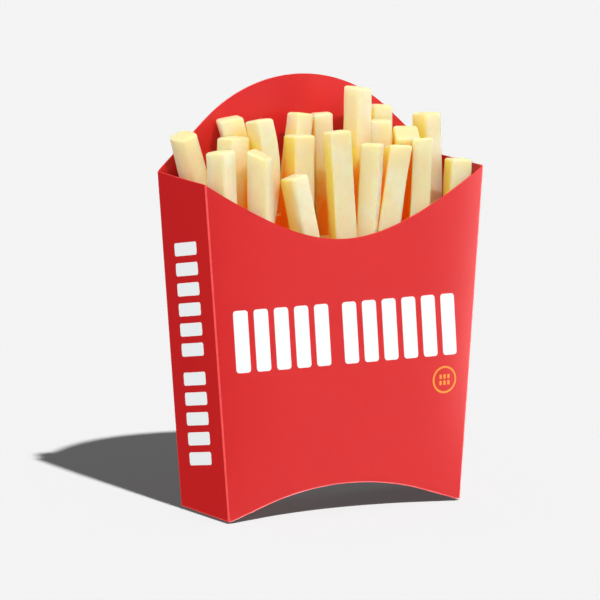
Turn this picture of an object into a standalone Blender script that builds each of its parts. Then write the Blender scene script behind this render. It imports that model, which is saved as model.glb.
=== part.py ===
"""French fries in a folded card carton, standing on its own foot.

Metres, +Z up. The origin is at the middle of the carton's footprint, on the surface that it stands on.
The open scoop front faces -Y and the arched back panel is at +Y.

Two sub-parts: the carton, one folded and glued card blank, and the fries, one solid that fills the
carton and ends in the separate sticks that stand out of its mouth.
"""
import math
import random
from collections import namedtuple

import bmesh
import bpy
from mathutils import Matrix, Vector

# ---- driving dimensions of the carton -------------------------------------------------------------
CARTON_DEPTH = 0.0355          # front panel to back panel, outside
FOOT_HALF_WIDTH = 0.0463       # half the front panel's width on the table
SHOULDER_HALF_WIDTH = 0.0552   # half the front panel's width at its top corners
SHOULDER_HEIGHT = 0.118        # top corners of the front and side panels
BACK_SHOULDER_HEIGHT = 0.1187  # where the back panel's arch starts
BOARD = 0.00055                # thickness of the card

ARCH_TOP = 0.1498              # highest point of the back panel
ARCH_RADIUS = 0.0545
RIM_BOTTOM = 0.0959            # lowest point of the front panel's scooped edge
RIM_SPREAD = 0.0386            # how soon the scooped edge straightens out on its way up
SOLE_TOP = 0.0096              # highest point of the arched bottom
SOLE_RADIUS = 0.099
SOLE_HALF_SPAN = 0.0450        # where the arched bottom comes down to the table

ARC_STEP = math.radians(5)     # length of one facet of an arc
DIP_FACETS = 24                # facets of the scooped edge

# ---- driving dimensions of the fries --------------------------------------------------------------
GAP = 0.0003                   # clearance between the fries and the card
FILL_DROP = 0.009              # how far the packed fries lie below the scooped edge in the middle
FILL_SHOULDER = 0.102          # height of the packed fries against the side panels
STICK_ROOT = 0.080             # height at which the separate sticks start, inside the packed ones
STICK_CHAMFER = 0.0010         # worn corners along a stick and round its end

# One stick that stands out of the mouth: the centre of its end, how far it leans towards +X and +Y
# in degrees, the side of its square section, and the turn of that section about the stick in degrees.
Stick = namedtuple("Stick", "x y top lean_x lean_y width turn root", defaults=(STICK_ROOT,))

STICKS = (
    # front row, against the scooped panel, from left to right
    Stick(-0.0460, -0.0115, 0.1284, -3.0, 0, 0.0076, 26),
    Stick(-0.0306, -0.0115, 0.1267, -1.0, 0, 0.0076, 38),
    Stick(-0.0174, -0.0115, 0.1180, -12.6, 0, 0.0073, 15),
    Stick(0.0006, -0.0100, 0.1326, -2.6, 2, 0.0078, -6),
    Stick(0.0139, -0.0115, 0.1276, 3.4, 0, 0.0069, 46),
    Stick(0.0257, -0.0090, 0.1257, 11.7, 4, 0.0079, -12),
    Stick(0.0345, -0.0103, 0.1278, 2.8, 1, 0.0070, -26),
    Stick(0.0480, -0.0125, 0.1204, 3.7, 0, 0.0076, -7),
    # middle row
    Stick(-0.0331, 0.0030, 0.1310, 0, 0, 0.0086, 15),
    Stick(-0.0245, -0.0020, 0.1371, 0.5, 0, 0.0074, 8),
    Stick(-0.0096, -0.0015, 0.1309, 1.4, 0, 0.0084, 7),
    Stick(0.0163, 0.0030, 0.1459, 1.2, 0, 0.0074, 21),
    Stick(0.0253, 0.0040, 0.1336, 0, 0, 0.0079, -20),
    Stick(0.0325, -0.0030, 0.1297, -10.0, -22, 0.0086, -21, 0.098),
    Stick(-0.0148, 0.0065, 0.1026, 0, 0, 0.0070, 12),
    # back row, against the arched panel
    Stick(-0.0487, 0.0110, 0.1318, -16.2, 0, 0.0088, 18),
    Stick(-0.0304, 0.0116, 0.1366, -18.2, 0, 0.0087, -17, 0.093),
    Stick(-0.0039, 0.0080, 0.1373, 7.2, 0, 0.0071, 11),
    Stick(0.0061, 0.0110, 0.1364, -2.0, 0, 0.0070, -18),
    Stick(0.0294, 0.0115, 0.1379, -0.8, 0, 0.0074, -2),
    Stick(0.0469, 0.0080, 0.1345, 0.0, 3, 0.0075, 14),
)

# Shorter sticks fill the mouth between those, in a grid of columns and rows.
FILL_COLUMNS = 12
FILL_ROWS = 4
FILL_HALF_WIDTH = 0.0455       # outermost column's distance from the middle
FILL_HALF_DEPTH = 0.0116       # outermost row's distance from the middle
FILL_ROOM = 0.0070             # a place this near a stick that stands out is already taken
FILL_RISE = (0.002, 0.007)     # least and most that a filling stick stands out of the packed ones
FILL_WIDTH = (0.0066, 0.0074)  # least and most side of a filling stick
FILL_SEED = 5

# ---- lengths that follow from them ----------------------------------------------------------------
HALF_DEPTH = CARTON_DEPTH / 2
FLARE = (SHOULDER_HALF_WIDTH - FOOT_HALF_WIDTH) / SHOULDER_HEIGHT
ABOVE_ALL = ARCH_TOP + 0.020   # safely above the carton, for the ends of cutting shapes
OUTSIDE = SHOULDER_HALF_WIDTH + 0.020


def half_width(height):
    """Half the carton's outside width at a height."""
    return FOOT_HALF_WIDTH + FLARE * height


def arch_outline(middle, radius, end_x, end_z):
    """Points of an arch from (-end_x, end_z) to (end_x, end_z).

    It is an arc through (0, middle) with a straight run, tangent to it, out to each end.
    """
    centre_z = middle - radius
    reach = math.hypot(end_x, end_z - centre_z)
    sweep = math.atan2(end_x, end_z - centre_z) - math.acos(radius / reach)
    count = max(2, round(sweep / ARC_STEP))
    points = [(-end_x, end_z)]
    for index in range(-count, count + 1):
        angle = sweep * index / count
        points.append((radius * math.sin(angle), centre_z + radius * math.cos(angle)))
    points.append((end_x, end_z))
    return points


def dip_outline(bottom, end_x, end_z):
    """Points of a hollow from (-end_x, end_z) to (end_x, end_z) that straightens out towards its ends."""
    full = math.hypot(1, end_x / RIM_SPREAD) - 1
    points = []
    for index in range(DIP_FACETS + 1):
        x = end_x * (2 * index / DIP_FACETS - 1)
        points.append((x, bottom + (end_z - bottom) * (math.hypot(1, x / RIM_SPREAD) - 1) / full))
    return points


def sole_outline(lift):
    """The arched bottom, lifted square to itself, from left to right."""
    return arch_outline(SOLE_TOP + lift, SOLE_RADIUS + lift, SOLE_HALF_SPAN, lift)


def inside_outline(inset, top_outline):
    """Outline of the carton's inside, inset from its outer faces and closed by top_outline."""
    right_foot = (half_width(inset) - inset, inset)
    left_foot = (-right_foot[0], inset)
    return [left_foot] + sole_outline(inset) + [right_foot] + list(reversed(top_outline))


def prism(name, outline, front, back):
    """A solid with an outline in the XZ plane, running from y = front to y = back."""
    mesh = bmesh.new()
    corners = [mesh.verts.new((x, front, z)) for x, z in outline]
    face = mesh.faces.new(corners)
    grown = bmesh.ops.extrude_face_region(mesh, geom=[face])["geom"]
    moved = [part for part in grown if isinstance(part, bmesh.types.BMVert)]
    bmesh.ops.translate(mesh, verts=moved, vec=(0, back - front, 0))
    bmesh.ops.recalc_face_normals(mesh, faces=mesh.faces)
    data = bpy.data.meshes.new(name)
    mesh.to_mesh(data)
    mesh.free()
    body = bpy.data.objects.new(name, data)
    bpy.context.scene.collection.objects.link(body)
    return body


def combine(body, tool, operation):
    """Join a helper shape to a body, or cut it out, and keep the helper out of the model."""
    tool.hide_render = True
    tool.display_type = "WIRE"
    step = body.modifiers.new(tool.name, "BOOLEAN")
    step.object = tool
    step.operation = operation
    step.solver = "EXACT"


def finish(body, name, colour, roughness):
    """Give a body its own plain material."""
    material = bpy.data.materials.new(name)
    material.use_nodes = True
    shader = material.node_tree.nodes["Principled BSDF"]
    shader.inputs["Base Color"].default_value = (*colour, 1)
    shader.inputs["Roughness"].default_value = roughness
    shader.inputs["Metallic"].default_value = 0
    body.data.materials.append(material)


def make_carton():
    """The folded card: an outer block, less its inside, less all above the scooped front edge."""
    left_foot = (-FOOT_HALF_WIDTH, 0)
    right_foot = (FOOT_HALF_WIDTH, 0)
    arch = arch_outline(ARCH_TOP, ARCH_RADIUS, SHOULDER_HALF_WIDTH, BACK_SHOULDER_HEIGHT)
    outer = [left_foot] + sole_outline(0) + [right_foot] + list(reversed(arch))
    carton = prism("carton", outer, -HALF_DEPTH, HALF_DEPTH)

    mouth_half = half_width(ABOVE_ALL) - BOARD
    mouth = [(-mouth_half, ABOVE_ALL), (mouth_half, ABOVE_ALL)]
    inside = prism("carton_inside", inside_outline(BOARD, mouth), BOARD - HALF_DEPTH, HALF_DEPTH - BOARD)
    combine(carton, inside, "DIFFERENCE")

    rim = dip_outline(RIM_BOTTOM, SHOULDER_HALF_WIDTH, SHOULDER_HEIGHT)
    right = [(OUTSIDE, SHOULDER_HEIGHT), (OUTSIDE, ABOVE_ALL)]
    left = [(-OUTSIDE, ABOVE_ALL), (-OUTSIDE, SHOULDER_HEIGHT)]
    scoop = prism("carton_scoop", rim + right + left, -CARTON_DEPTH, HALF_DEPTH - BOARD)
    combine(carton, scoop, "DIFFERENCE")
    finish(carton, "carton", (0.70, 0.036, 0.036), 0.45)


def make_stick(name, stick):
    """One cut potato stick: a chamfered square section with a chamfered end, down to its root."""
    half = stick.width / 2
    worn = half - STICK_CHAMFER
    section = [(half, -worn), (half, worn), (worn, half), (-worn, half)]
    section += [(-x, -y) for x, y in section]
    slope = Vector((math.tan(math.radians(stick.lean_x)), math.tan(math.radians(stick.lean_y)), 1))
    length = slope.length * (stick.top - stick.root)
    turn = Matrix.Rotation(math.radians(stick.turn), 4, "Z")
    lean = Vector((0, 0, 1)).rotation_difference(slope).to_matrix().to_4x4()
    place = Matrix.Translation((stick.x, stick.y, stick.top)) @ lean @ turn

    mesh = bmesh.new()
    rings = []
    for height, scale in ((-length, 1), (-STICK_CHAMFER, 1), (0, worn / half)):
        rings.append([mesh.verts.new(place @ Vector((x * scale, y * scale, height))) for x, y in section])
    for low, high in zip(rings, rings[1:]):
        for index, corner in enumerate(low):
            after = (index + 1) % len(low)
            mesh.faces.new((corner, low[after], high[after], high[index]))
    mesh.faces.new(list(reversed(rings[0])))
    mesh.faces.new(rings[-1])
    bmesh.ops.recalc_face_normals(mesh, faces=mesh.faces)
    data = bpy.data.meshes.new(name)
    mesh.to_mesh(data)
    mesh.free()
    body = bpy.data.objects.new(name, data)
    bpy.context.scene.collection.objects.link(body)
    return body


def stick_place(stick, height):
    """Where a stick's middle line is at a height."""
    drop = stick.top - height
    x = stick.x - drop * math.tan(math.radians(stick.lean_x))
    y = stick.y - drop * math.tan(math.radians(stick.lean_y))
    return x, y


def fill_level(x, outline):
    """Height of the packed fries at a place across the carton."""
    for (x_low, z_low), (x_high, z_high) in zip(outline, outline[1:]):
        if x_low <= x <= x_high:
            return z_low + (z_high - z_low) * (x - x_low) / (x_high - x_low)
    return FILL_SHOULDER


def filling_sticks(outline):
    """The shorter sticks, wherever the grid has a place that no stick that stands out takes."""
    draw = random.Random(FILL_SEED)
    taken = [stick_place(stick, RIM_BOTTOM) for stick in STICKS]
    found = []
    for row in range(FILL_ROWS):
        for column in range(FILL_COLUMNS):
            x = FILL_HALF_WIDTH * (2 * column / (FILL_COLUMNS - 1) - 1) + draw.uniform(-0.0008, 0.0008)
            y = FILL_HALF_DEPTH * (2 * row / (FILL_ROWS - 1) - 1) + draw.uniform(-0.0004, 0.0004)
            top = fill_level(x, outline) + draw.uniform(*FILL_RISE)
            width = draw.uniform(*FILL_WIDTH)
            lean = draw.uniform(-2, 2)
            turn = draw.uniform(-10, 10)
            if all(math.hypot(x - other_x, y - other_y) > FILL_ROOM for other_x, other_y in taken):
                found.append(Stick(x, y, top, lean, 0, width, turn))
    return found


def make_fries():
    """The packed fries, out to the carton's inside, with the separate sticks standing out of them."""
    inset = BOARD + GAP
    edge = half_width(FILL_SHOULDER) - inset
    top = dip_outline(RIM_BOTTOM - FILL_DROP, edge, FILL_SHOULDER)
    fries = prism("fries", inside_outline(inset, top), inset - HALF_DEPTH, HALF_DEPTH - inset)
    sticks = list(STICKS) + filling_sticks(top)
    for index, stick in enumerate(sticks):
        combine(fries, make_stick(f"stick_{index + 1:02d}", stick), "UNION")
    finish(fries, "fries", (0.87, 0.73, 0.40), 0.6)


for old in list(bpy.data.objects):
    bpy.data.objects.remove(old)
make_carton()
make_fries()
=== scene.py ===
"""The looks of french fries in a folded card carton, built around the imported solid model.

Laid out as a Blender add-on and run as a script. Metres, +Z up, the scooped front panel facing -Y.
"""

import math
import random
from collections import namedtuple

import bmesh
import bpy
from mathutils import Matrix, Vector
from mathutils.bvhtree import BVHTree


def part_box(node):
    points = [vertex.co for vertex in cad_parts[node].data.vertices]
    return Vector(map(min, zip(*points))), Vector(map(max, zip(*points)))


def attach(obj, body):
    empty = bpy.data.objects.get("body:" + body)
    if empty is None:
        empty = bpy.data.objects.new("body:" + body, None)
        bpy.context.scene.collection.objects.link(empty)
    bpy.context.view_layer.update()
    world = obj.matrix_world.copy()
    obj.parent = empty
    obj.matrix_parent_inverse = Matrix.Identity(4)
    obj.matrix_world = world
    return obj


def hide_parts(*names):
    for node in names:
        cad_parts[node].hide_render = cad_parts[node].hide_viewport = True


bl_info = {
    "name": "Fries in a Carton",
    "version": (1, 0, 0),
    "blender": (4, 5, 0),
    "location": "View3D > Sidebar > Fries",
    "description": "Builds the carton, its print, the fries and a small studio",
    "category": "Object",
}

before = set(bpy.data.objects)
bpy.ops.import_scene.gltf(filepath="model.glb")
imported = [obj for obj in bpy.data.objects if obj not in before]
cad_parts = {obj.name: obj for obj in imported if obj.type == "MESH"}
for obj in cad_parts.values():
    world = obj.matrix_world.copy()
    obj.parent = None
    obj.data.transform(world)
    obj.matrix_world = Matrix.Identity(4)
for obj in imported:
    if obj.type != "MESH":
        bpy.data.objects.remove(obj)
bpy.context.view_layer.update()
BODY = "root"
CARTON_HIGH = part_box("carton")[1]

# ---- the carton's driving sizes ----
SHOULDER_HALF_WIDTH = CARTON_HIGH.x
HALF_DEPTH = CARTON_HIGH.y
ARCH_TOP = CARTON_HIGH.z
FOOT_HALF_WIDTH = 0.0463       # half the front panel's width on the table
SHOULDER_HEIGHT = 0.118        # top corners of the front panel
BACK_SHOULDER_HEIGHT = 0.1187  # where the back panel's arch starts; the sides' tops run between the two
ARCH_RADIUS = 0.0545
RIM_BOTTOM = 0.0959            # lowest point of the front panel's scooped edge
RIM_SPREAD = 0.0386            # how soon the scooped edge straightens out on its way up
SOLE_TOP = 0.0096              # highest point of the arched bottom
SOLE_RADIUS = 0.099
SOLE_HALF_SPAN = 0.0450        # where the arched bottom comes down to the table
FLARE = (SHOULDER_HALF_WIDTH - FOOT_HALF_WIDTH) / SHOULDER_HEIGHT
SIDE_CLIMB = (BACK_SHOULDER_HEIGHT - SHOULDER_HEIGHT) / (2 * HALF_DEPTH)

PANEL_COLUMNS = 72             # faces across the front or back panel
SIDE_COLUMNS = 20              # faces across a side panel
FOLD_COLUMNS = 5               # faces round a quarter turn of a fold
PANEL_ROWS = 56                # faces up a panel
BULGE_FULL = 0.06              # height where the front's and the back's bulge is full
SIDE_BULGE_FULL = 0.04
WELD = 0.00002                 # points of the sheet nearer than this are one

# ---- the fries' driving sizes ----
STICK_ROOT = 0.080             # height at which the separate sticks start, inside the core
CORE_TOP = 0.083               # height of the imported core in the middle
CORE_BOTTOM = 0.012            # height whose width its bottom has
CORE_INSET = 0.0012            # room between the core and the card
CORE_WAVES = 430               # its top has a lump every pi / CORE_WAVES
CORE_LUMP = 0.0016
CORE_RISE = 0.35               # how much of the scooped edge's rise its top follows
FILL_DROP = 0.009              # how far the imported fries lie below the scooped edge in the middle
FILL_SHOULDER = 0.102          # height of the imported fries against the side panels

# A stick that stands out of the mouth: the centre of its end, its lean towards +X and +Y, the side of
# its square section, the turn of that section, the fall of its cut end towards +X and +Y, how round it
# is, how far its middle bows towards +X, and the height where it starts. Angles are in degrees.
Stick = namedtuple(
    "Stick",
    "x y top lean_x lean_y width turn cut_x cut_y round bow root",
    defaults=(0, 3, 0, 0, STICK_ROOT),
)

STICKS = (
    # front row, against the scooped panel, from left to right
    Stick(-0.0460, -0.0115, 0.1284, -3.0, 0, 0.0076, 26),
    Stick(-0.0306, -0.0115, 0.1267, -1.0, 0, 0.0076, 38, 13, -17, 0.2),
    Stick(-0.0174, -0.0115, 0.1180, -12.6, 0, 0.0073, 15),
    Stick(0.0006, -0.0100, 0.1326, -2.6, 2, 0.0078, -6),
    Stick(0.0139, -0.0115, 0.1276, 3.4, 0, 0.0069, 46),
    Stick(0.0257, -0.0090, 0.1257, 11.7, 4, 0.0079, -12, -4, 8),
    Stick(0.0345, -0.0103, 0.1278, 2.8, 1, 0.0070, -26, 0, 12),
    Stick(0.0480, -0.0125, 0.1204, 3.7, 0, 0.0076, -7),
    # middle row
    Stick(-0.0331, 0.0030, 0.1310, 0, 0, 0.0086, 15),
    Stick(-0.0259, -0.0020, 0.1371, 8.8, 0, 0.0074, 8, -14, 3, 0, 0.0067),
    Stick(-0.0096, -0.0015, 0.1309, 1.4, 0, 0.0084, 7),
    Stick(0.0163, 0.0030, 0.1459, 1.2, 0, 0.0074, 21, 6, 0),
    Stick(0.0253, 0.0040, 0.1336, 0, 0, 0.0079, -20),
    Stick(0.0325, -0.0030, 0.1297, -10.0, -22, 0.0086, -21, 0, -4, 0, 0, 0.098),
    Stick(-0.0148, 0.0065, 0.1026, 0, 0, 0.0070, 12),
    # back row, against the arched panel
    Stick(-0.0487, 0.0110, 0.1318, -16.2, 0, 0.0088, 18, 2, -9, 0.8),
    Stick(-0.0304, 0.0116, 0.1366, -18.2, 0, 0.0087, -17, 9, 3, 0, 0, 0.093),
    Stick(-0.0039, 0.0080, 0.1373, 7.2, 0, 0.0071, 11),
    Stick(0.0061, 0.0110, 0.1364, -2.0, 0, 0.0070, -18),
    Stick(0.0294, 0.0115, 0.1379, -0.8, 0, 0.0074, -2, 5, 3),
    Stick(0.0469, 0.0080, 0.1345, 0.0, 3, 0.0075, 14),
)

# Shorter sticks fill the mouth between those, in a grid of columns and rows.
FILL_COLUMNS = 12
FILL_ROWS = 4
FILL_HALF_WIDTH = 0.0455
FILL_HALF_DEPTH = 0.0116
FILL_SHIFT_X, FILL_SHIFT_Y = 0.0008, 0.0004
FILL_LEAN, FILL_TURN = 2, 10   # most that one leans or turns, in degrees
FILL_ROOM = 0.0070
FILL_RISE = (0.002, 0.007)
FILL_WIDTH = (0.0066, 0.0074)
FILL_SEED = 5

CORNER_POINTS = 5              # points round a corner of a stick's section
SIDE_CUTS = 3.0                # extra points along a side of it
SECTION_STEP = 0.0026          # distance between a stick's sections
SWELL = 0.03                   # most that a stick swells or narrows, as a share of its side
CUT_REACH = 0.012              # how far down a stick the slant of its end still tells
HOLLOW_REACH = 0.030           # how far away something still shuts a point in
HOLLOW_START = 0.0002          # how far off the surface a ray starts
HOLLOW_RAYS = 90

# Shares of the rays stopped, for the painted shade. A side that faces away from SHADE_SIDE starts to be
# painted shaded at one and is fully painted shaded at the other. On a side that faces it both come sooner.
SHADE_SIDE = (-0.876, 0.482, 0)
SHADE_START = 0.62
SHADE_FULL = 0.86
SHADE_START_SOONER = 0.44
SHADE_FULL_SOONER = 0.32
# painted shade down between the sticks: shares of the rays stopped between which it comes, and heights where
# it goes
GAP_SHADE_HOLLOW = (0.71, 0.86)     # shares between which the deep colour comes
GAP_SHADE_HEIGHT = (0.122, 0.130)   # heights between which it goes again


# ---- settings that a user would change ----
def length_setting(name, description, default):
    return bpy.props.FloatProperty(
        name=name, description=description, default=default, unit="LENGTH", precision=5
    )


def colour_setting(name, description, default):
    return bpy.props.FloatVectorProperty(
        name=name, description=description, default=default, size=3, min=0, max=1, subtype="COLOR"
    )


def number_setting(name, description, default):
    return bpy.props.FloatProperty(name=name, description=description, default=default)


class CartonSettings(bpy.types.PropertyGroup):
    """Sizes and colours of the folded card."""

    board: length_setting("Board", "Thickness of the card", 0.00055)
    fold: length_setting("Fold", "Outside radius of a fold", 0.00045)
    # painted highlight and wear: how far the lighter band along a fold reaches onto its panels
    highlight_and_wear_band: length_setting("Worn", "How far the wear of a fold reaches onto its panels", 0.00015)
    bow: length_setting("Bow", "How far the front panel bulges", 0.0008)
    back_bow: length_setting("Back bow", "How far the back panel bulges", 0.0004)
    side_bow: length_setting("Side bow", "How far a side panel bulges", 0.0002)
    red: colour_setting("Red", "Printed colour of the card", (0.60, 0.011, 0.012))
    # painted highlight along the folds, scuffed like wear: the lighter colour of the fold band
    fold_highlight_and_wear: colour_setting("Crease", "Colour of the card where a fold has worn it", (0.88, 0.09, 0.085))
    edge: colour_setting("Cut edge", "Colour of the card's cut edge", (0.74, 0.03, 0.03))
    white: colour_setting("White ink", "Colour of the white print", (0.93, 0.97, 0.97))
    yellow: colour_setting("Yellow ink", "Colour of the badge", (0.93, 0.33, 0.03))


class FriesSettings(bpy.types.PropertyGroup):
    """Sizes and colours of the potato sticks."""

    corner: number_setting("Corner", "Rounding of a stick's corners, as a share of half its side", 0.22)
    end_round: length_setting("End rounding", "Radius round a stick's end", 0.0010)
    lump: length_setting("Lumps", "Height of the broad unevenness", 0.00028)
    dimple: length_setting("Dimples", "Height of the fine unevenness", 0.00007)
    pale: colour_setting("Pale", "Colour of most of a stick", (0.90, 0.79, 0.48))
    cream: colour_setting("Cream", "Colour of its palest patches", (0.92, 0.85, 0.60))
    golden: colour_setting("Golden", "Colour of its browner patches", (0.90, 0.69, 0.31))
    # painted shade: the colour where neighbouring sticks shut a point in
    shaded: colour_setting("Shaded", "Colour where another stick is close", (1.0, 0.77, 0.17))
    # painted glow: emission that stands in for light passing through the sticks into the hollows
    painted_glow: number_setting("Shine-through", "Light that reaches the hollows through the sticks", 0.08)
    # painted shade: the colour down in the shaded gaps between the sticks
    gap_shade: colour_setting("Deep", "Colour down between the sticks", (1.0, 0.36, 0.03))
    seed: bpy.props.IntProperty(name="Seed", description="Starts the unevenness", default=3)


class StudioSettings(bpy.types.PropertyGroup):
    """The camera and the lights."""

    key: number_setting("Key light", "Strength of the key light on the card", 1.86)
    fries_key: number_setting("Key light on fries", "Strength of the key light on the fries", 1.05)
    fries_soft: number_setting("Soft light on fries", "Strength of the broad light on the fries", 0.76)
    floor_key: number_setting("Floor light", "How much more of the key light the floor gets", 56.0)
    fill: number_setting("Fill light", "Strength of the low light on the card from the left", 1.6)
    side: number_setting("Side light", "Strength of the low light from the right", 0.27)
    back: number_setting("Back light", "Strength of the low light from behind", 0.6)
    surround: number_setting("Surround", "Brightness of the room", 0.5)
    below: number_setting("From below", "How bright the room's lower half is beside its mean", 0.4)
    window: number_setting("Window", "Brightness that the gloss mirrors on the front", 0.25)
    strip: number_setting("Strip", "Brightness that the gloss mirrors at the right edge", 19.0)
    glow: number_setting("Floor glow", "Brightness of the floor in full shadow", 0.068)
    floor: colour_setting("Floor", "Colour of the floor", (0.06, 0.06, 0.06))


# ---- shared helpers ----
def settings():
    return bpy.context.scene.fries_carton


def half_width(height):
    """Half the carton's outside width at a height."""
    return FOOT_HALF_WIDTH + FLARE * height


def arch_curve(top, radius, end_x, end_z):
    """A function that gives the height at x of an arc with straight runs, tangent to it, to its ends."""
    centre_z = top - radius
    reach = math.hypot(end_x, end_z - centre_z)
    sweep = math.atan2(end_x, end_z - centre_z) - math.acos(radius / reach)
    turn_x = radius * math.sin(sweep)
    turn_z = centre_z + radius * math.cos(sweep)
    slope = (end_z - turn_z) / (end_x - turn_x)

    def height(x):
        x = abs(x)
        if x <= turn_x:
            return centre_z + math.sqrt(radius**2 - x**2)
        return turn_z + slope * (x - turn_x)

    return height


def dip_curve(bottom, end_x, end_z):
    """A function that gives the height at x of a hollow that straightens out towards its ends."""
    full = math.hypot(1, end_x / RIM_SPREAD) - 1

    def height(x):
        return bottom + (end_z - bottom) * (math.hypot(1, x / RIM_SPREAD) - 1) / full

    return height


rim_height = dip_curve(RIM_BOTTOM, SHOULDER_HALF_WIDTH, SHOULDER_HEIGHT)
arch_height = arch_curve(ARCH_TOP, ARCH_RADIUS, SHOULDER_HALF_WIDTH, BACK_SHOULDER_HEIGHT)
sole_curve = arch_curve(SOLE_TOP, SOLE_RADIUS, SOLE_HALF_SPAN, 0)
fill_curve = dip_curve(RIM_BOTTOM - FILL_DROP, half_width(FILL_SHOULDER), FILL_SHOULDER)


def sole_height(x):
    """Height of the arched bottom at x, and of the flat feet beyond it."""
    return sole_curve(x) if abs(x) < SOLE_HALF_SPAN else 0.0


def new_object(name, mesh):
    made = bpy.data.objects.new(name, mesh)
    bpy.context.scene.collection.objects.link(made)
    return made


def object_from(name, points, faces=(), edges=()):
    mesh = bpy.data.meshes.new(name)
    mesh.from_pydata([tuple(point) for point in points], edges, faces)
    mesh.update()
    return new_object(name, mesh)


def object_of(name, shape):
    """A new object with a bmesh's shape, which is then done with."""
    mesh = bpy.data.meshes.new(name)
    shape.to_mesh(mesh)
    shape.free()
    return new_object(name, mesh)


def thickened(sheet):
    """Extrude every face of a bmesh, put the faces in the same order each run, and return the new points."""
    grown = bmesh.ops.extrude_face_region(sheet, geom=list(sheet.faces))["geom"]
    sheet.verts.index_update()
    count = len(sheet.verts)

    def rank(face):
        first, second, third = sorted(vertex.index for vertex in face.verts)[:3]
        return (first * count + second) * count + third

    sheet.faces.sort(key=rank)
    return {part for part in grown if isinstance(part, bmesh.types.BMVert)}


def store(mesh, marks):
    """Store named numbers, or named rows of three numbers, on the points of a mesh."""
    for name, values in marks.items():
        kind, key = ("FLOAT", "value") if len(values) == len(mesh.vertices) else ("FLOAT_VECTOR", "vector")
        mesh.attributes.new(name, kind, "POINT").data.foreach_set(key, values)


def set_material(piece, material):
    """Give the whole piece one material."""
    piece.data.materials.clear()
    piece.data.materials.append(material)
    piece.data.polygons.foreach_set("material_index", [0] * len(piece.data.polygons))


def plain_copy(name, source):
    """The source with its modifiers worked in, as a plain mesh, in place of the source."""
    depsgraph = bpy.context.evaluated_depsgraph_get()
    mesh = bpy.data.meshes.new_from_object(
        source.evaluated_get(depsgraph), preserve_all_data_layers=True, depsgraph=depsgraph
    )
    source.modifiers.clear()
    bpy.data.objects.remove(source)
    mesh.name = name
    return new_object(name, mesh)


def grow(name, source, tree, values):
    """Run a node tree on a source and keep the result as a plain mesh piece."""
    step = source.modifiers.new(name, "NODES")
    step.node_group = tree
    for item in tree.interface.items_tree:
        if item.in_out == "INPUT" and item.name in values:
            step[item.identifier] = values[item.name]
    return plain_copy(name, source)


# ---- node helpers ----
class Wiring:
    """Adds nodes to a tree and joins them with short calls."""

    def __init__(self, tree):
        self.tree = tree

    def node(self, kind, inputs=None, **options):
        """A new node, with its options set and the inputs given joined or set."""
        made = self.tree.nodes.new(kind)
        for name, value in options.items():
            setattr(made, name, value)
        for name, value in (inputs or {}).items():
            if value is not None:
                self.feed(made.inputs[name], value)
        return made

    def out(self, kind, inputs=None, **options):
        """The first output of a new node."""
        return self.node(kind, inputs, **options).outputs[0]

    def feed(self, socket, value):
        """Join an output to an input, or set the input to a plain value."""
        if isinstance(value, bpy.types.NodeSocket):
            self.tree.links.new(value, socket)
        else:
            socket.default_value = value

    def math(self, operation, first, second=None):
        return self.out("ShaderNodeMath", {0: first, 1: second}, operation=operation)

    def plus(self, first, second):
        return self.math("ADD", first, second)

    def minus(self, first, second):
        return self.math("SUBTRACT", first, second)

    def times(self, first, second):
        return self.math("MULTIPLY", first, second)

    def vector(self, operation, first, second=None, scale=None):
        made = self.node("ShaderNodeVectorMath", {0: first, 1: second, "Scale": scale}, operation=operation)
        return made.outputs["Value" if operation == "DOT_PRODUCT" else "Vector"]

    def parts(self, vector):
        """The x, y and z of a vector."""
        return self.node("ShaderNodeSeparateXYZ", {0: vector}).outputs

    def joined(self, x=None, y=None, z=None):
        """A vector from its x, y and z."""
        return self.out("ShaderNodeCombineXYZ", {0: x, 1: y, 2: z})

    def noise(self, vector, scale, detail=2.0, roughness=0.5, w=None):
        inputs = {"Vector": vector, "Scale": scale, "Detail": detail, "Roughness": roughness, "W": w}
        return self.out("ShaderNodeTexNoise", inputs, noise_dimensions="3D" if w is None else "4D")

    def ramp(self, value, low, high, to_low=0.0, to_high=1.0):
        """Turn low to high into to_low to to_high, softly at both ends."""
        inputs = {"Value": value, "From Min": low, "From Max": high, "To Min": to_low, "To Max": to_high}
        return self.out("ShaderNodeMapRange", inputs, interpolation_type="SMOOTHSTEP")

    def blend(self, share, first, second):
        """A colour between two, each an output or three numbers."""
        inputs = {"Factor": share}
        for name, colour in (("A", first), ("B", second)):
            inputs[name] = colour if isinstance(colour, bpy.types.NodeSocket) else (*colour, 1)
        return self.node("ShaderNodeMix", inputs, data_type="RGBA").outputs["Result"]

    def attribute(self, name):
        return self.node("ShaderNodeAttribute", attribute_name=name).outputs["Fac"]

    def stored(self, name, kind="FLOAT_VECTOR"):
        """A named attribute of the geometry that a tree works on."""
        return self.out("GeometryNodeInputNamedAttribute", {"Name": name}, data_type=kind)

    def finish(self, result, geometry, material):
        """End a geometry tree: real geometry of one material goes to the result."""
        whole = self.out("GeometryNodeRealizeInstances", {"Geometry": geometry})
        covered = self.out("GeometryNodeSetMaterial", {"Geometry": whole, "Material": material})
        self.feed(result["Geometry"], covered)

    def place(self):
        return self.node("ShaderNodeTexCoord").outputs["Object"]

    def stretch(self, vector, scale):
        return self.out("ShaderNodeMapping", {"Vector": vector, "Scale": scale}, vector_type="POINT")

    def bump(self, height, distance, strength=1.0, under=None):
        inputs = {"Height": height, "Distance": distance, "Strength": strength, "Normal": under}
        return self.out("ShaderNodeBump", inputs)


def new_material(name, **plain):
    """A material with a Principled shader, with its plain values set on their own sockets."""
    material = bpy.data.materials.new(name)
    material.use_nodes = True
    shader = material.node_tree.nodes["Principled BSDF"]
    for socket, value in plain.items():
        shader.inputs[socket.replace("_", " ").title().replace("Ior", "IOR")].default_value = value
    return material, shader, Wiring(material.node_tree)


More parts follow.
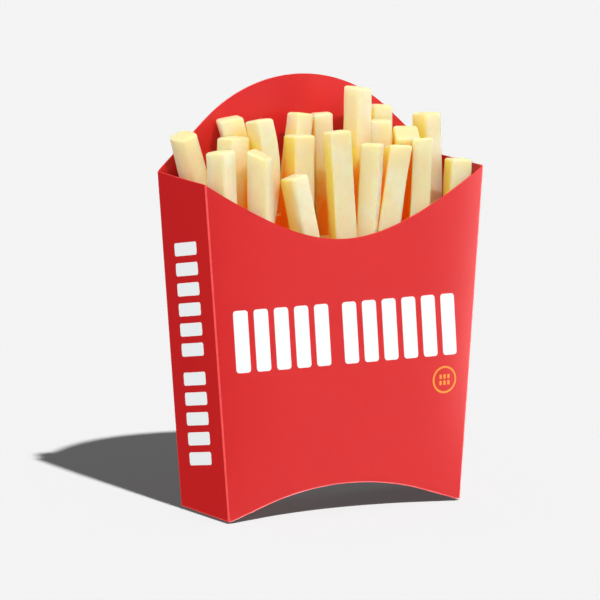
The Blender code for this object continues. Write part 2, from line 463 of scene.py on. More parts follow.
def new_tree(name, inputs):
    """A geometry node tree with named inputs, and its wiring, group input and group output."""
    tree = bpy.data.node_groups.new(name, "GeometryNodeTree")
    for way in ("INPUT", "OUTPUT"):
        tree.interface.new_socket(name="Geometry", in_out=way, socket_type="NodeSocketGeometry")
    for label, kind in inputs:
        tree.interface.new_socket(name=label, in_out="INPUT", socket_type=kind)
    wiring = Wiring(tree)
    return tree, wiring, wiring.node("NodeGroupInput").outputs, wiring.node("NodeGroupOutput").inputs


# ---- finishes ----
def board_finish():
    """Red coated board: even ink over faint fibres, folds painted lighter as a highlight, scuffed like wear.
    """
    look = settings().carton
    material, shader, w = new_material(
        "coated_board", roughness=0.34, coat_weight=0.12, coat_roughness=0.25
    )
    place = w.place()
    red = Vector(look.red)
    cloud = w.ramp(w.noise(place, 38.0, 3.0), 0.3, 0.7)
    ink = w.blend(cloud, red * 0.985, red * 1.015)
    # painted highlight along the folds, broken up by scuffs like wear
    scuff = w.ramp(w.noise(place, 900.0, 2.0), 0.25, 0.75, 0.65, 1.0)
    highlight_and_wear_band = w.times(w.attribute("fold_highlight_and_wear"), scuff)
    w.feed(shader.inputs["Base Color"], w.blend(highlight_and_wear_band, ink, look.fold_highlight_and_wear))
    fibre = w.noise(w.stretch(place, (1, 1, 0.4)), 1500.0, 3.0, 0.6)
    orange_peel = w.bump(w.noise(place, 260.0, 1.0), 0.00004, 0.2)
    w.feed(shader.inputs["Normal"], w.bump(fibre, 0.00001, 0.3, orange_peel))
    w.feed(shader.inputs["Roughness"], w.ramp(w.noise(place, 120.0, 3.0), 0.3, 0.7, 0.335, 0.355))
    return material


def cut_edge_finish():
    """The cut edge of the board, a little lighter and rougher than its faces."""
    material, shader, w = new_material("board_cut_edge", roughness=0.6)
    edge = Vector(settings().carton.edge)
    fibre = w.noise(w.place(), 2600.0, 3.0, 0.6)
    w.feed(shader.inputs["Base Color"], w.blend(w.ramp(fibre, 0.3, 0.7), edge * 0.9, edge * 1.1))
    w.feed(shader.inputs["Normal"], w.bump(fibre, 0.00003, 0.5))
    return material


def ink_finish(name, colour):
    """Printing ink on the coated board: thin places let a little of the board through."""
    material, shader, w = new_material(name, roughness=0.38, coat_weight=0.1, coat_roughness=0.25)
    place = w.place()
    full = Vector(colour)
    thin = w.ramp(w.noise(place, 700.0, 4.0, 0.65), 0.25, 0.5, 0.94, 1.0)
    tone = w.ramp(w.noise(place, 60.0, 2.0), 0.3, 0.7, 0.975, 1.0)
    w.feed(shader.inputs["Base Color"], w.blend(w.times(thin, tone), full * 0.6, full))
    w.feed(shader.inputs["Normal"], w.bump(w.noise(place, 1500.0, 3.0, 0.6), 0.00001, 0.3))
    return material


def potato_finish():
    """Fried potato: pale with golden patches, plus painted shade and a painted glow where sticks stand close.
    """
    look = settings().fries
    material, shader, w = new_material(
        "fried_potato", roughness=0.5, subsurface_weight=1.0, subsurface_scale=0.008, specular_ior_level=0.14
    )
    shader.inputs["Subsurface Radius"].default_value = (1.0, 0.55, 0.14)
    place = w.place()
    cloud = w.ramp(w.noise(place, 85.0, 3.0), 0.42, 0.68)
    streak = w.noise(w.stretch(place, (1, 1, 0.16)), 520.0, 3.0, 0.6)
    browned = w.ramp(w.noise(place, 150.0, 4.0, 0.6), 0.55, 0.8)
    body = w.blend(cloud, look.pale, look.cream)
    # browned patches and streaks are the potato's own tone; the upward-facing share is painted top shade that
    # dims lit ends
    for patches, share in ((browned, 0.5), (w.ramp(streak, 0.5, 0.8), 0.22), (w.attribute("painted_top_shade"), 0.7)):
        body = w.blend(w.times(patches, share), body, look.golden)
    # painted shade where sticks shut each other in, sooner on sides facing SHADE_SIDE
    shade = w.attribute("shade")
    body = w.blend(shade, body, look.shaded)
    # painted shade down in the gaps between the sticks, gone above their tops
    below_tops = w.ramp(w.vector("DOT_PRODUCT", place, (0, 0, 1)), *GAP_SHADE_HEIGHT, 1.0, 0.0)
    gap_shade_mask = w.times(w.ramp(w.attribute("hollow"), *GAP_SHADE_HOLLOW), below_tops)
    w.feed(shader.inputs["Base Color"], w.blend(gap_shade_mask, body, look.gap_shade))
    # painted glow: emission in the painted-shade places, for light passing through the sticks
    w.feed(shader.inputs["Emission Color"], w.blend(gap_shade_mask, (1.0, 1.0, 0.1), (1.0, 0.12, 0.0)))
    painted_glow_share = w.math("MAXIMUM", gap_shade_mask, w.times(shade, 0.45))
    w.feed(shader.inputs["Emission Strength"], w.times(painted_glow_share, look.painted_glow))
    blister = w.bump(w.noise(place, 620.0, 4.0, 0.6), 0.00016, 0.55)
    w.feed(shader.inputs["Normal"], w.bump(streak, 0.00010, 0.5, blister))
    w.feed(shader.inputs["Roughness"], w.ramp(w.noise(place, 260.0, 2.0), 0.3, 0.7, 0.42, 0.6))
    return material


# ---- the folded card ----
def panel_bulge(x, z, amount):
    """How far a panel stands out of its flat at a place: full in the middle, nothing at its folds."""
    across = min(1.0, abs(x) / half_width(z))
    up = min(1.0, max(0.0, z) / BULGE_FULL)
    return amount * (1 - across**6) * math.sin(up * math.pi / 2)


def front_surface(x, z):
    """y of the front panel's outer face."""
    return -HALF_DEPTH - panel_bulge(x, z, settings().carton.bow)


def board_columns():
    """The columns round the carton, as (share, side, facing) with side naming the panel or fold.

    share runs from -1 to 1 along a panel, and facing is the outward direction in plan.
    """
    columns = []
    for side in range(4):
        count, half = ((PANEL_COLUMNS, FOOT_HALF_WIDTH), (SIDE_COLUMNS, HALF_DEPTH))[side % 2]
        facing = math.radians(90 * (side - 1))
        plain = 1 - settings().carton.highlight_and_wear_band / half
        columns.append((-1.0, side, facing))
        for index in range(count + 1):
            columns.append((plain * (2 * index / count - 1), side, facing))
        for index in range(FOLD_COLUMNS):
            columns.append((1.0, side, facing + math.radians(90) * index / FOLD_COLUMNS))
    return columns


def board_point(column, height, drop=0.0):
    """A point of the outer face at a column and a height, drop radians round the bottom fold."""
    look = settings().carton
    share, side, facing = column
    reach_x = half_width(height) - look.fold
    reach_y = HALF_DEPTH - look.fold
    corner_x, corner_y = ((share, -1), (1, share), (-share, 1), (-1, -share))[side]
    x = corner_x * reach_x
    y = corner_y * reach_y
    out = look.fold * math.cos(drop)
    x += out * math.cos(facing)
    y += out * math.sin(facing)
    bulge = (look.bow, look.side_bow, look.back_bow, look.side_bow)[side]
    if side in (0, 2):
        y += math.copysign(panel_bulge(corner_x * reach_x, height, bulge), y) * math.cos(drop)
    else:
        amount = bulge * (1 - corner_y**2) * math.sin(min(1.0, height / SIDE_BULGE_FULL) * math.pi / 2)
        x += math.copysign(amount, x) * math.cos(drop)
    return x, y


def column_heights(column):
    """Lowest and highest z of a column's wall."""
    look = settings().carton
    share, side = column[:2]
    top = SHOULDER_HEIGHT + SIDE_CLIMB * (board_point(column, SHOULDER_HEIGHT)[1] + HALF_DEPTH)
    if side in (0, 2) and abs(share) < 1:
        edge = rim_height if side == 0 else arch_height
        for _ in range(12):
            top = edge(board_point(column, top)[0])
    low_x = board_point(column, 0)[0]
    return sole_height(min(abs(low_x), FOOT_HALF_WIDTH - look.fold)) + look.fold, top


def board_sheet():
    """The outer face of the card as one open sheet, with its creases marked."""
    look = settings().carton
    columns = board_columns()
    points = []
    creases = []
    faces = []
    rows = FOLD_COLUMNS + PANEL_ROWS + 2
    for column in columns:
        low, top = column_heights(column)
        in_fold = abs(column[0]) == 1.0
        for row in range(rows):
            drop = math.radians(90) * max(0, FOLD_COLUMNS - row) / FOLD_COLUMNS
            climb = max(0, row - FOLD_COLUMNS - 1) / PANEL_ROWS
            height = low + look.highlight_and_wear_band + (top - low - look.highlight_and_wear_band) * climb if row > FOLD_COLUMNS else low
            x, y = board_point(column, height, drop)
            points.append((x, y, height - look.fold * math.sin(drop)))
            creases.append(1.0 if in_fold or 0 < row <= FOLD_COLUMNS else 0.0)
    for index in range(len(columns)):
        here = index * rows
        after = (index + 1) % len(columns) * rows
        for row in range(rows - 1):
            faces.append((here + row, after + row, after + row + 1, here + row + 1))

    # the arched bottom, a grid between the lowest rows of the front and back panels
    first = len(points)
    across_shares = [column[0] for column in columns if column[1] == 0][:PANEL_COLUMNS + 3]
    along_shares = [column[0] for column in columns if column[1] == 1][:SIDE_COLUMNS + 3]
    for across in across_shares:
        x = (FOOT_HALF_WIDTH - look.fold) * across
        for along in along_shares:
            points.append((x, (HALF_DEPTH - look.fold) * along, sole_height(x)))
            creases.append(0.0)
    stride = len(along_shares)
    for across in range(len(across_shares) - 1):
        for along in range(stride - 1):
            corner = first + across * stride + along
            faces.append((corner, corner + 1, corner + stride + 1, corner + stride))

    sheet = object_from("board_sheet", points, faces)
    store(sheet.data, {"fold_highlight_and_wear": creases})
    welded = bmesh.new()
    welded.from_mesh(sheet.data)
    bmesh.ops.remove_doubles(welded, verts=welded.verts, dist=WELD)
    bmesh.ops.recalc_face_normals(welded, faces=welded.faces)
    welded.to_mesh(sheet.data)
    welded.free()
    return sheet


def make_carton():
    sheet = board_sheet()
    wall = sheet.modifiers.new("board", "SOLIDIFY")
    wall.thickness = settings().carton.board
    wall.offset = -1
    wall.use_even_offset = True
    wall.material_offset_rim = 1
    sheet.data.materials.append(board_finish())
    sheet.data.materials.append(cut_edge_finish())
    carton = plain_copy("carton_board", sheet)
    carton.data.shade_smooth()
    carton.data.set_sharp_from_angle(angle=math.radians(40))
    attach(carton, BODY)
    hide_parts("carton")
    return carton


# ---- the print ----
INK_LIFT = 0.00003             # how far the print's face stands off the board
Bar = namedtuple("Bar", "x z width length lean")

FRONT_LEFT, FRONT_RIGHT = -0.0441, 0.0436
FRONT_MIDDLE = 0.0629
FRONT_BAR_LENGTH = 0.0218
FRONT_BAR_WIDTH = 0.0056
FRONT_LEAN = -3.9              # degrees that the front bars lean to the left
WORD_GAP = 0.0032              # extra room between the two groups of bars

SIDE_BOTTOM, SIDE_TOP = 0.0175, 0.0960
SIDE_BAR_LENGTH = 0.0165
SIDE_BAR_WIDTH = 0.0046
SIDE_LEAN = -9.7               # degrees that the side bars fall towards the back

BAR_COUNT = 11
FIRST_GROUP = 5                # bars in the first of the two groups

BADGE_X, BADGE_Z = 0.0393, 0.0433
BADGE_RADIUS = 0.0045
BADGE_STROKE = 0.00032
BADGE_PITCH_X, BADGE_PITCH_Z = 0.0016, 0.0011
BADGE_BAR = (0.0009, 0.0015)   # width and length of a bar in it
RING_STEPS = 72
BAR_COLUMNS = 7                # points across a bar


def bar_tree():
    """Bars with rounded corners, one on each point of the source, each with its own size and lean."""
    tree, w, given, result = new_tree(
        "printed_bars",
        (("Steps", "NodeSocketInt"), ("Corner", "NodeSocketFloat"), ("Ink", "NodeSocketMaterial")),
    )
    size = {"Size X": 1.0, "Size Y": 1.0, "Vertices X": BAR_COLUMNS, "Vertices Y": given["Steps"]}
    grid = w.out("GeometryNodeMeshGrid", size)
    spot = w.out("GeometryNodeInputPosition")
    bar = w.out(
        "GeometryNodeStoreNamedAttribute",
        {"Geometry": grid, "Name": "spot", "Value": spot},
        data_type="FLOAT_VECTOR",
        domain="POINT",
    )
    copies = w.out("GeometryNodeInstanceOnPoints", {"Points": given["Geometry"], "Instance": bar})
    whole = w.out("GeometryNodeRealizeInstances", {"Geometry": copies})

    u, v = w.parts(w.stored("spot"))[:2]
    width, length, lean = w.parts(w.stored("size"))
    # rows crowd towards the ends, so that the rounded corners stay round
    along = w.times(w.math("SINE", w.times(v, math.pi)), w.times(length, 0.5))
    radius = w.times(width, given["Corner"])
    straight = w.minus(w.times(length, 0.5), radius)
    over = w.math("MAXIMUM", w.minus(w.math("ABSOLUTE", along), straight), 0.0)
    left_over = w.minus(w.times(radius, radius), w.times(over, over))
    rounding = w.math("SQRT", w.math("MAXIMUM", left_over, 0.0))
    half = w.plus(w.minus(w.times(width, 0.5), radius), rounding)
    across = w.plus(w.times(w.times(u, 2.0), half), w.times(along, w.math("TANGENT", lean)))
    position = w.vector("ADD", w.joined(across, along), w.stored("centre"))
    placed = w.out("GeometryNodeSetPosition", {"Geometry": whole, "Position": position})
    merged = w.out("GeometryNodeMergeByDistance", {"Geometry": placed, "Distance": 0.000005})
    w.finish(result, merged, given["Ink"])
    return tree


def flat_bars(name, bars, material):
    """All of one print's bars, flat in the XY plane."""
    source = object_from(name + "_points", [(bar.x, bar.z, 0) for bar in bars])
    marks = {
        "centre": [number for bar in bars for number in (bar.x, bar.z, 0)],
        "size": [number for bar in bars for number in (bar.width, bar.length, bar.lean)],
    }
    store(source.data, marks)
    return grow(name, source, bar_tree(), {"Steps": 25, "Corner": 0.2, "Ink": material})


def lay_on(piece, surface):
    """Wrap a flat print, drawn in XY, onto the board: surface turns (x, y) into a point on it."""
    mesh = piece.data
    for vertex in mesh.vertices:
        vertex.co = surface(vertex.co.x, vertex.co.y)
    spot = surface(0, 0.05)
    outward = Vector((spot.x, spot.y, 0)).normalized()
    sheet = bmesh.new()
    sheet.from_mesh(mesh)
    sheet.normal_update()
    moved = thickened(sheet)
    for vertex in sheet.verts:
        vertex.co += outward * (INK_LIFT if vertex in moved else -INK_LIFT)
    bmesh.ops.recalc_face_normals(sheet, faces=sheet.faces)
    sheet.to_mesh(mesh)
    sheet.free()
    return piece


def on_front(x, z):
    return Vector((x, front_surface(x, z), z))


def on_left(y, z):
    column = (y / (HALF_DEPTH - settings().carton.fold), 3, math.radians(180))
    x, away = board_point(column, z)
    return Vector((x, -away, z))


def bar_row(low, high, middle, width, length, lean):
    """Even bars side by side from low to high, in two groups."""
    pitch = (high - low - width - WORD_GAP) / (BAR_COUNT - 1)
    bars = []
    for index in range(BAR_COUNT):
        place = low + width / 2 + pitch * index + (WORD_GAP if index >= FIRST_GROUP else 0)
        bars.append(Bar(place, middle, width, length, math.radians(lean)))
    return bars


def make_front_print():
    ink = ink_finish("white_ink", settings().carton.white)
    bars = bar_row(FRONT_LEFT, FRONT_RIGHT, FRONT_MIDDLE, FRONT_BAR_WIDTH, FRONT_BAR_LENGTH, FRONT_LEAN)
    piece = lay_on(flat_bars("front_print", bars, ink), on_front)
    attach(piece, BODY)


def make_side_print():
    ink = bpy.data.materials["white_ink"]
    bars = bar_row(SIDE_BOTTOM, SIDE_TOP, 0, SIDE_BAR_WIDTH, SIDE_BAR_LENGTH, SIDE_LEAN)
    piece = lay_on(flat_bars("side_print", bars, ink), lambda along, across: on_left(across, along))
    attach(piece, BODY)


def make_badge():
    """A ring with two rows of three short bars in it."""
    ink = ink_finish("yellow_ink", settings().carton.yellow)
    bars = [
        Bar(BADGE_X + BADGE_PITCH_X * column, BADGE_Z + BADGE_PITCH_Z * row, *BADGE_BAR, 0)
        for row in (-1, 1)
        for column in (-1, 0, 1)
    ]
    marks = flat_bars("badge_bars", bars, ink)
    ring = bmesh.new()
    ring.from_mesh(marks.data)
    angles = [2 * math.pi * index / RING_STEPS for index in range(RING_STEPS)]
    inner, outer = [
        [ring.verts.new((BADGE_X + far * math.cos(way), BADGE_Z + far * math.sin(way), 0)) for way in angles]
        for far in (BADGE_RADIUS - BADGE_STROKE, BADGE_RADIUS + BADGE_STROKE)
    ]
    for index in range(RING_STEPS):
        after = (index + 1) % RING_STEPS
        ring.faces.new((inner[index], outer[index], outer[after], inner[after]))
    ring.to_mesh(marks.data)
    ring.free()
    marks.name = "badge"
    set_material(marks, ink)
    piece = lay_on(marks, on_front)
    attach(piece, BODY)


# ---- the fries ----
def stick_place(stick, height):
    """Where a stick's middle line is at a height."""
    drop = stick.top - height
    x = stick.x - drop * math.tan(math.radians(stick.lean_x))
    y = stick.y - drop * math.tan(math.radians(stick.lean_y))
    return x, y


def filling_sticks():
    """The shorter sticks, wherever the grid has a place that no stick that stands out takes."""
    draw = random.Random(FILL_SEED)
    taken = [stick_place(stick, RIM_BOTTOM) for stick in STICKS]
    found = []
    for row in range(FILL_ROWS):
        for column in range(FILL_COLUMNS):
            x = FILL_HALF_WIDTH * (2 * column / (FILL_COLUMNS - 1) - 1)
            x += draw.uniform(-FILL_SHIFT_X, FILL_SHIFT_X)
            y = FILL_HALF_DEPTH * (2 * row / (FILL_ROWS - 1) - 1)
            y += draw.uniform(-FILL_SHIFT_Y, FILL_SHIFT_Y)
            top = fill_curve(x) + draw.uniform(*FILL_RISE)
            width = draw.uniform(*FILL_WIDTH)
            lean = draw.uniform(-FILL_LEAN, FILL_LEAN)
            turn = draw.uniform(-FILL_TURN, FILL_TURN)
            if all(math.hypot(x - other_x, y - other_y) > FILL_ROOM for other_x, other_y in taken):
                found.append(Stick(x, y, top, lean, 0, width, turn, 0, 0))
    return found


def stick_rings(stick, end_round):
    """Distances of a stick's sections from its end, and each one's half side."""
    half = stick.width / 2
    flat = half - end_round
    # the end is a little domed, and its rim turns down in a quarter round
    rings = [(-0.00012, flat * 0.25), (-0.00008, flat * 0.62), (0.0, flat)]
    for step in range(1, 6):
        angle = math.radians(18 * step)
        rings.append((end_round * (1 - math.cos(angle)), flat + end_round * math.sin(angle)))
    return rings


def stick_lines(sticks):
    """The sticks' middle lines as chains of edges, with each section's size, facing and end cut."""
    look = settings().fries
    draw = random.Random(look.seed)
    points, edges = [], []
    marks = {"half": [], "number": [], "round": [], "facing": [], "middle": [], "cut": []}
    for number, stick in enumerate(sticks):
        slope = Vector((math.tan(math.radians(stick.lean_x)), math.tan(math.radians(stick.lean_y)), 1))
        axis = slope.normalized()
        length = slope.length * (stick.top - stick.root)
        end = Vector((stick.x, stick.y, stick.top))
        turn = math.radians(stick.turn)
        facing = Vector((math.cos(turn), math.sin(turn), 0))
        facing = (facing - axis * facing.dot(axis)).normalized()
        swell = draw.uniform(-SWELL, SWELL)
        sections = stick_rings(stick, look.end_round)
        reach = sections[-1][0]
        count = max(6, round((length - reach) / SECTION_STEP))
        for step in range(1, count + 1):
            sections.append((reach + (length - reach) * step / count, stick.width / 2))
        cut = Vector((math.tan(math.radians(stick.cut_x)), math.tan(math.radians(stick.cut_y)), 0))
        for index, (distance, half) in enumerate(sections):
            share = distance / length
            bow = stick.bow * 4 * share * (1 - share)
            middle = end - axis * distance + Vector((bow, 0, 0))
            if index:
                edges.append((len(points) - 1, len(points)))
            points.append(middle)
            near_end = max(0.0, 1 - distance / CUT_REACH)
            marks["half"].append(half * (1 + swell * math.sin(share * 9 + number)))
            marks["number"].append(float(number))
            marks["round"].append(stick.round)
            marks["facing"].extend(facing)
            marks["middle"].extend(middle)
            marks["cut"].extend(-cut * near_end)
    lines = object_from("stick_lines", points, edges=edges)
    store(lines.data, marks)
    return lines


def stick_tree():
    """Sticks of rounded square section along the source's edges, made uneven and cut at their ends."""
    sizes = [(name, "NodeSocketFloat") for name in ("Corner", "Lump", "Dimple", "Seed")]
    tree, w, given, result = new_tree("potato_sticks", (*sizes, ("Potato", "NodeSocketMaterial")))
    half = w.stored("half", "FLOAT")
    chains = w.out("GeometryNodeMeshToCurve", {"Mesh": given["Geometry"]})
    lines = w.out("GeometryNodeSetCurveNormal", {"Curve": chains, "Normal": w.stored("facing")}, mode="FREE")
    square = w.out("GeometryNodeCurvePrimitiveQuadrilateral", {"Width": 2.0, "Height": 2.0}, mode="RECTANGLE")
    corners = {"Curve": square, "Count": CORNER_POINTS - 1, "Radius": given["Corner"]}
    rounded = w.out("GeometryNodeFilletCurve", corners, mode="POLY")
    place_in_turn = w.math("MODULO", w.out("GeometryNodeInputIndex"), CORNER_POINTS)
    side_start = w.math("GREATER_THAN", place_in_turn, CORNER_POINTS - 1.5)
    section = w.out("GeometryNodeSubdivideCurve", {"Curve": rounded, "Cuts": w.times(side_start, SIDE_CUTS)})
    swept = {"Curve": lines, "Profile Curve": section, "Scale": half, "Fill Caps": True}
    skin = w.out("GeometryNodeCurveToMesh", swept)

    place = w.out("GeometryNodeInputPosition")
    from_middle = w.vector("SUBTRACT", place, w.stored("middle"))
    circle = w.vector("SCALE", w.vector("NORMALIZE", from_middle), scale=w.times(half, 1.06))
    to_circle = w.vector("SCALE", w.vector("SUBTRACT", circle, from_middle), scale=w.stored("round", "FLOAT"))
    fall = w.joined(z=w.vector("DOT_PRODUCT", from_middle, w.stored("cut")))
    cut = w.out("GeometryNodeSetPosition", {"Geometry": skin, "Offset": w.vector("ADD", to_circle, fall)})

    own = w.plus(w.times(w.stored("number", "FLOAT"), 3.7), given["Seed"])
    rises = []
    for size, scale, detail, roughness in (("Lump", 105.0, 1.0, 0.5), ("Dimple", 420.0, 2.0, 0.6)):
        swing = w.minus(w.noise(place, scale, detail, roughness, own), 0.5)
        rises.append(w.times(w.times(swing, 2.0), given[size]))
    outward = w.node("GeometryNodeInputNormal").outputs["Normal"]
    offset = w.vector("SCALE", outward, scale=w.plus(*rises))
    uneven = w.out("GeometryNodeSetPosition", {"Geometry": cut, "Offset": offset})
    w.finish(result, w.out("GeometryNodeSetShadeSmooth", {"Geometry": uneven}), given["Potato"])
    return tree


def hemisphere(count):
    """Directions spread over the half space above Z, more of them near Z."""
    spread = []
    for index in range(count):
        tilt = math.acos(math.sqrt(1 - (index + 0.5) / count))
        heading = index * math.pi * (3 - math.sqrt(5))
        across = math.sin(tilt)
        spread.append(Vector((across * math.cos(heading), across * math.sin(heading), math.cos(tilt))))
    return spread


def shut_in(tree, vertex, spread):
    """Share of the rays out of a vertex that stop at something near, or None inside another stick."""
    facing = Vector((0, 0, 1)).rotation_difference(vertex.normal)
    start = vertex.co + vertex.normal * HOLLOW_START
    stopped, buried = 0, 0
    for way in spread:
        ray = facing @ way
        normal = tree.ray_cast(start, ray, HOLLOW_REACH)[1]
        if normal is not None:
            stopped += 1
            buried += normal.dot(ray) > 0
    return None if buried > HOLLOW_RAYS / 2 else stopped / HOLLOW_RAYS


def mark_hollows(piece):
    """Store three shares on each point: how shut in it is, how much painted shade that gives it, and how much
    painted shade its upward face gets.
    """
    mesh = piece.data
    points = [vertex.co for vertex in mesh.vertices]
    tree = BVHTree.FromPolygons(points, [tuple(face.vertices) for face in mesh.polygons])
    spread = hemisphere(HOLLOW_RAYS)
    shares = []
    for vertex in mesh.vertices:
        packed = vertex.co.z < fill_curve(vertex.co.x)
        shares.append(1.0 if packed else shut_in(tree, vertex, spread))

    # a point inside another stick takes the mean of the points next to it
    beside = {vertex.index: [] for vertex in mesh.vertices if shares[vertex.index] is None}
    for edge in mesh.edges:
        for one, other in (edge.vertices, reversed(edge.vertices)):
            if one in beside and shares[other] is not None:
                beside[one].append(shares[other])
    for index, near in beside.items():
        shares[index] = sum(near) / len(near) if near else 1.0

    marks = {"hollow": shares, "shade": [], "painted_top_shade": []}
    for vertex in mesh.vertices:
        # painted shade: sides that face SHADE_SIDE take it sooner; upward faces get painted top shade
        turned = max(0.0, vertex.normal.dot(Vector(SHADE_SIDE)))
        start = SHADE_START - SHADE_START_SOONER * turned
        full = SHADE_FULL - SHADE_FULL_SOONER * turned
        marks["shade"].append(min(1.0, max(0.0, (shares[vertex.index] - start) / (full - start))))
        marks["painted_top_shade"].append(max(0.0, vertex.normal.z) ** 2)
    store(mesh, marks)


def make_fries():
    """All the sticks as one piece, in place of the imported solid."""
    look = settings().fries
    values = {
        "Corner": look.corner,
        "Lump": look.lump,
        "Dimple": look.dimple,
        "Seed": float(look.seed),
        "Potato": potato_finish(),
    }
    fries = grow("potato_sticks", stick_lines(list(STICKS) + filling_sticks()), stick_tree(), values)
    mark_hollows(fries)
    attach(fries, BODY)
    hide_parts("fries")


def make_core():
    """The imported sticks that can't be seen: a lumpy block a little inside the card."""
    half_top = half_width(CORE_TOP) - CORE_INSET
    half_bottom = half_width(CORE_BOTTOM) - CORE_INSET
    mesh = bmesh.new()
    bmesh.ops.create_grid(mesh, x_segments=60, y_segments=18, size=1)
    for vertex in mesh.verts:
        x = vertex.co.x * half_top
        y = vertex.co.y * (HALF_DEPTH - CORE_INSET)
        lump = abs(math.sin(x * CORE_WAVES)) * abs(math.sin(y * CORE_WAVES + 0.6))
        rise = CORE_RISE * (rim_height(x) - RIM_BOTTOM)
        vertex.co = Vector((x, y, CORE_TOP + rise + CORE_LUMP * lump))
    for vertex in thickened(mesh):
        x = vertex.co.x * half_bottom / half_top
        vertex.co = Vector((x, vertex.co.y, sole_height(x) + CORE_INSET))
    bmesh.ops.recalc_face_normals(mesh, faces=mesh.faces)
    core = object_of("packed_core", mesh)
    # the hidden core takes the full painted shade and painted glow
    full = [1.0] * len(core.data.vertices)
    store(core.data, {"hollow": full, "shade": full})
    core.data.shade_smooth()
    set_material(core, bpy.data.materials["fried_potato"])
    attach(core, BODY)


# ---- the stage ----
CAMERA_AZIMUTH = -28.79
CAMERA_ELEVATION = 8.69
CAMERA_DISTANCE = 1.9964
CAMERA_LENS = 343.3
CAMERA_AIM = (-0.0085, 0, 0.0726)
FLOOR_HALF = 8.0
FLOOR_GAP = 0.0006             # leaves a dark line of contact under the card's edges
KEY_DIRECTION = (0.054, 0.925, -1.0)
KEY_ANGLE = 1.6
SOFT_DIRECTION = (0.80, 0.55, -0.35)
SOFT_ANGLE = 90.0
SOFT_COLOUR = (0.97, 1.0, 0.93)
FILL_DIRECTION = (0.97, 0.20, -0.10)
FILL_ANGLE = 12.0
SIDE_DIRECTION = (-0.97, 0.20, -0.10)
BACK_DIRECTION = (-0.20, -0.97, -0.10)
LOW_ANGLE = 20.0
BACKDROP = 0.905               # brightness of the room where the camera sees it, to match the floor
# headings in degrees, from the front towards the right, between which a mirrored light comes or goes
WINDOW_EDGE = (-60.0, 5.0)
STRIP_NEAR_EDGE = (42.0, 56.0)
STRIP_FAR_EDGE = (100.0, 80.0)
CARD_PIECES = ("carton_board", "front_print", "side_print", "badge")
FRIES_PIECES = ("potato_sticks", "packed_core")


def look_along(thing, direction):
    thing.rotation_mode = "QUATERNION"
    thing.rotation_quaternion = Vector(direction).to_track_quat("-Z", "Y")


def make_camera():
    azimuth = math.radians(CAMERA_AZIMUTH)
    elevation = math.radians(CAMERA_ELEVATION)
    level = math.cos(elevation)
    back = Vector((math.sin(azimuth) * level, -math.cos(azimuth) * level, math.sin(elevation)))
    data = bpy.data.cameras.new("camera")
    data.sensor_width = 36
    data.lens = CAMERA_LENS
    data.clip_start = 0.05
    data.clip_end = 60
    camera = new_object("camera", data)
    camera.location = Vector(CAMERA_AIM) + back * CAMERA_DISTANCE
    look_along(camera, -back)
    bpy.context.scene.camera = camera


def make_sun(name, direction, strength, angle, only=(), colour=(1, 1, 1)):
    """A far light, kept to the named objects if any are named."""
    data = bpy.data.lights.new(name, "SUN")
    data.energy = strength
    data.angle = math.radians(angle)
    data.color = colour
    light = new_object(name, data)
    look_along(light, direction)
    if only:
        lit = bpy.data.collections.new(name + "_only")
        for piece in only:
            lit.objects.link(bpy.data.objects[piece])
        light.light_linking.receiver_collection = lit


def make_room():
    """A plain pale floor, lit by its own light, and the surround."""
    look = settings().studio
    mesh = bmesh.new()
    bmesh.ops.create_grid(mesh, x_segments=1, y_segments=1, size=FLOOR_HALF)
    floor = object_of("floor", mesh)
    material, shader, w = new_material("pale_floor", roughness=0.9, specular_ior_level=0.0)
    tone = Vector(look.floor)
    grain = w.ramp(w.noise(w.place(), 3.0, 2.0), 0.3, 0.7)
    w.feed(shader.inputs["Base Color"], w.blend(grain, tone * 0.998, tone * 1.002))
    shader.inputs["Emission Color"].default_value = (1, 1, 1, 1)
    shader.inputs["Emission Strength"].default_value = look.glow
    set_material(floor, material)
    floor.location.z = -FLOOR_GAP
    floor.visible_glossy = False
    floor.visible_diffuse = False
    make_sun("floor_key", KEY_DIRECTION, look.floor_key, KEY_ANGLE, ["floor"])
    make_surround()


def make_surround():
    """A dim room, brighter above, with a window and a brighter strip at the right for the gloss."""
    look = settings().studio
    world = bpy.data.worlds.new("surround")
    world.use_nodes = True
    w = Wiring(world.node_tree)
    background = world.node_tree.nodes["Background"]
    paths = w.node("ShaderNodeLightPath").outputs
    x, y, z = w.parts(w.node("ShaderNodeTexCoord").outputs["Generated"])
    heading = w.times(w.math("ARCTAN2", x, w.times(y, -1.0)), 180 / math.pi)
    window = w.times(w.ramp(heading, *WINDOW_EDGE), look.window)
    strip = w.times(w.ramp(heading, *STRIP_NEAR_EDGE), w.ramp(heading, *STRIP_FAR_EDGE))
    mirrored = w.plus(window, w.times(strip, look.strip))
    even = w.times(w.ramp(z, -0.3, 0.3, look.below, 2 - look.below), look.surround)
    room = w.ramp(paths["Is Glossy Ray"], 0.0, 1.0, even, mirrored)
    w.feed(background.inputs["Strength"], w.ramp(paths["Is Camera Ray"], 0.0, 1.0, room, BACKDROP))
    background.inputs["Color"].default_value = (1, 1, 1, 1)
    bpy.context.scene.world = world


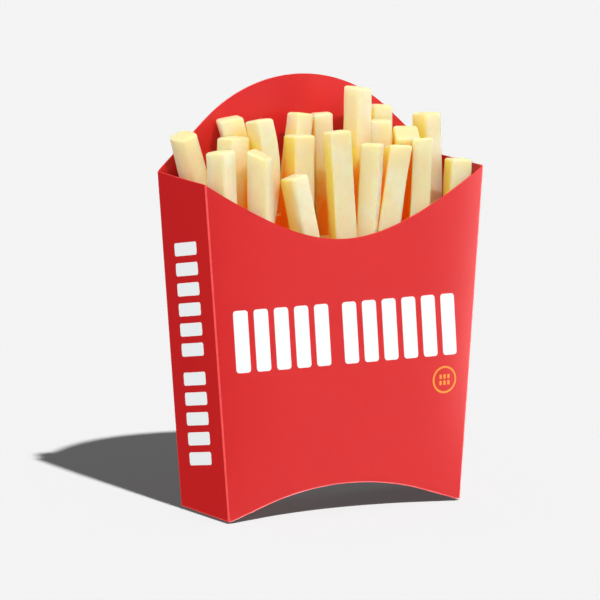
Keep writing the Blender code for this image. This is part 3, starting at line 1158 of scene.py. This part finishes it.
def make_stage():
    """The camera, the floor and every light."""
    look = settings().studio
    make_camera()
    make_room()
    make_sun("key", KEY_DIRECTION, look.key, KEY_ANGLE, CARD_PIECES)
    make_sun("fries_key", KEY_DIRECTION, look.fries_key, KEY_ANGLE, FRIES_PIECES)
    make_sun("fries_soft", SOFT_DIRECTION, look.fries_soft, SOFT_ANGLE, FRIES_PIECES, SOFT_COLOUR)
    make_sun("fill", FILL_DIRECTION, look.fill, FILL_ANGLE, CARD_PIECES)
    make_sun("side", SIDE_DIRECTION, look.side, LOW_ANGLE)
    make_sun("back", BACK_DIRECTION, look.back, LOW_ANGLE)
    scene = bpy.context.scene
    scene.view_settings.view_transform = "Standard"
    scene.view_settings.look = "None"


# ---- operators and panel ----
class StageOperator(bpy.types.Operator):
    """Set up the floor, the lights and the camera"""

    bl_idname = "fries.make_stage"
    bl_label = "Stage"

    def execute(self, context):
        make_stage()
        return {"FINISHED"}


class CartonOperator(bpy.types.Operator):
    """Fold the card carton"""

    bl_idname = "fries.make_carton"
    bl_label = "Carton"

    def execute(self, context):
        make_carton()
        return {"FINISHED"}


class PrintOperator(bpy.types.Operator):
    """Print the bars and the badge on the carton"""

    bl_idname = "fries.make_print"
    bl_label = "Print"

    def execute(self, context):
        make_front_print()
        make_side_print()
        make_badge()
        return {"FINISHED"}


class FriesOperator(bpy.types.Operator):
    """Fill the carton with potato sticks"""

    bl_idname = "fries.make_fries"
    bl_label = "Fries"

    def execute(self, context):
        make_fries()
        make_core()
        return {"FINISHED"}


OPERATORS = (CartonOperator, PrintOperator, FriesOperator, StageOperator)


class AllSettings(bpy.types.PropertyGroup):
    """Everything that a user would change."""

    carton: bpy.props.PointerProperty(type=CartonSettings)
    fries: bpy.props.PointerProperty(type=FriesSettings)
    studio: bpy.props.PointerProperty(type=StudioSettings)


class FriesPanel(bpy.types.Panel):
    """Lists the steps that build the model"""

    bl_idname = "VIEW3D_PT_fries"
    bl_label = "Fries in a Carton"
    bl_space_type = "VIEW_3D"
    bl_region_type = "UI"
    bl_category = "Fries"

    def draw(self, context):
        for operator in OPERATORS:
            self.layout.operator(operator.bl_idname)


CLASSES = (CartonSettings, FriesSettings, StudioSettings, AllSettings, *OPERATORS, FriesPanel)


def register():
    for item in CLASSES:
        bpy.utils.register_class(item)
    bpy.types.Scene.fries_carton = bpy.props.PointerProperty(type=AllSettings)


def unregister():
    del bpy.types.Scene.fries_carton
    for item in reversed(CLASSES):
        bpy.utils.unregister_class(item)


def main():
    register()
    for operator in OPERATORS:
        category, action = operator.bl_idname.split(".")
        getattr(getattr(bpy.ops, category), action)()


if __name__ == "__main__":
    main()
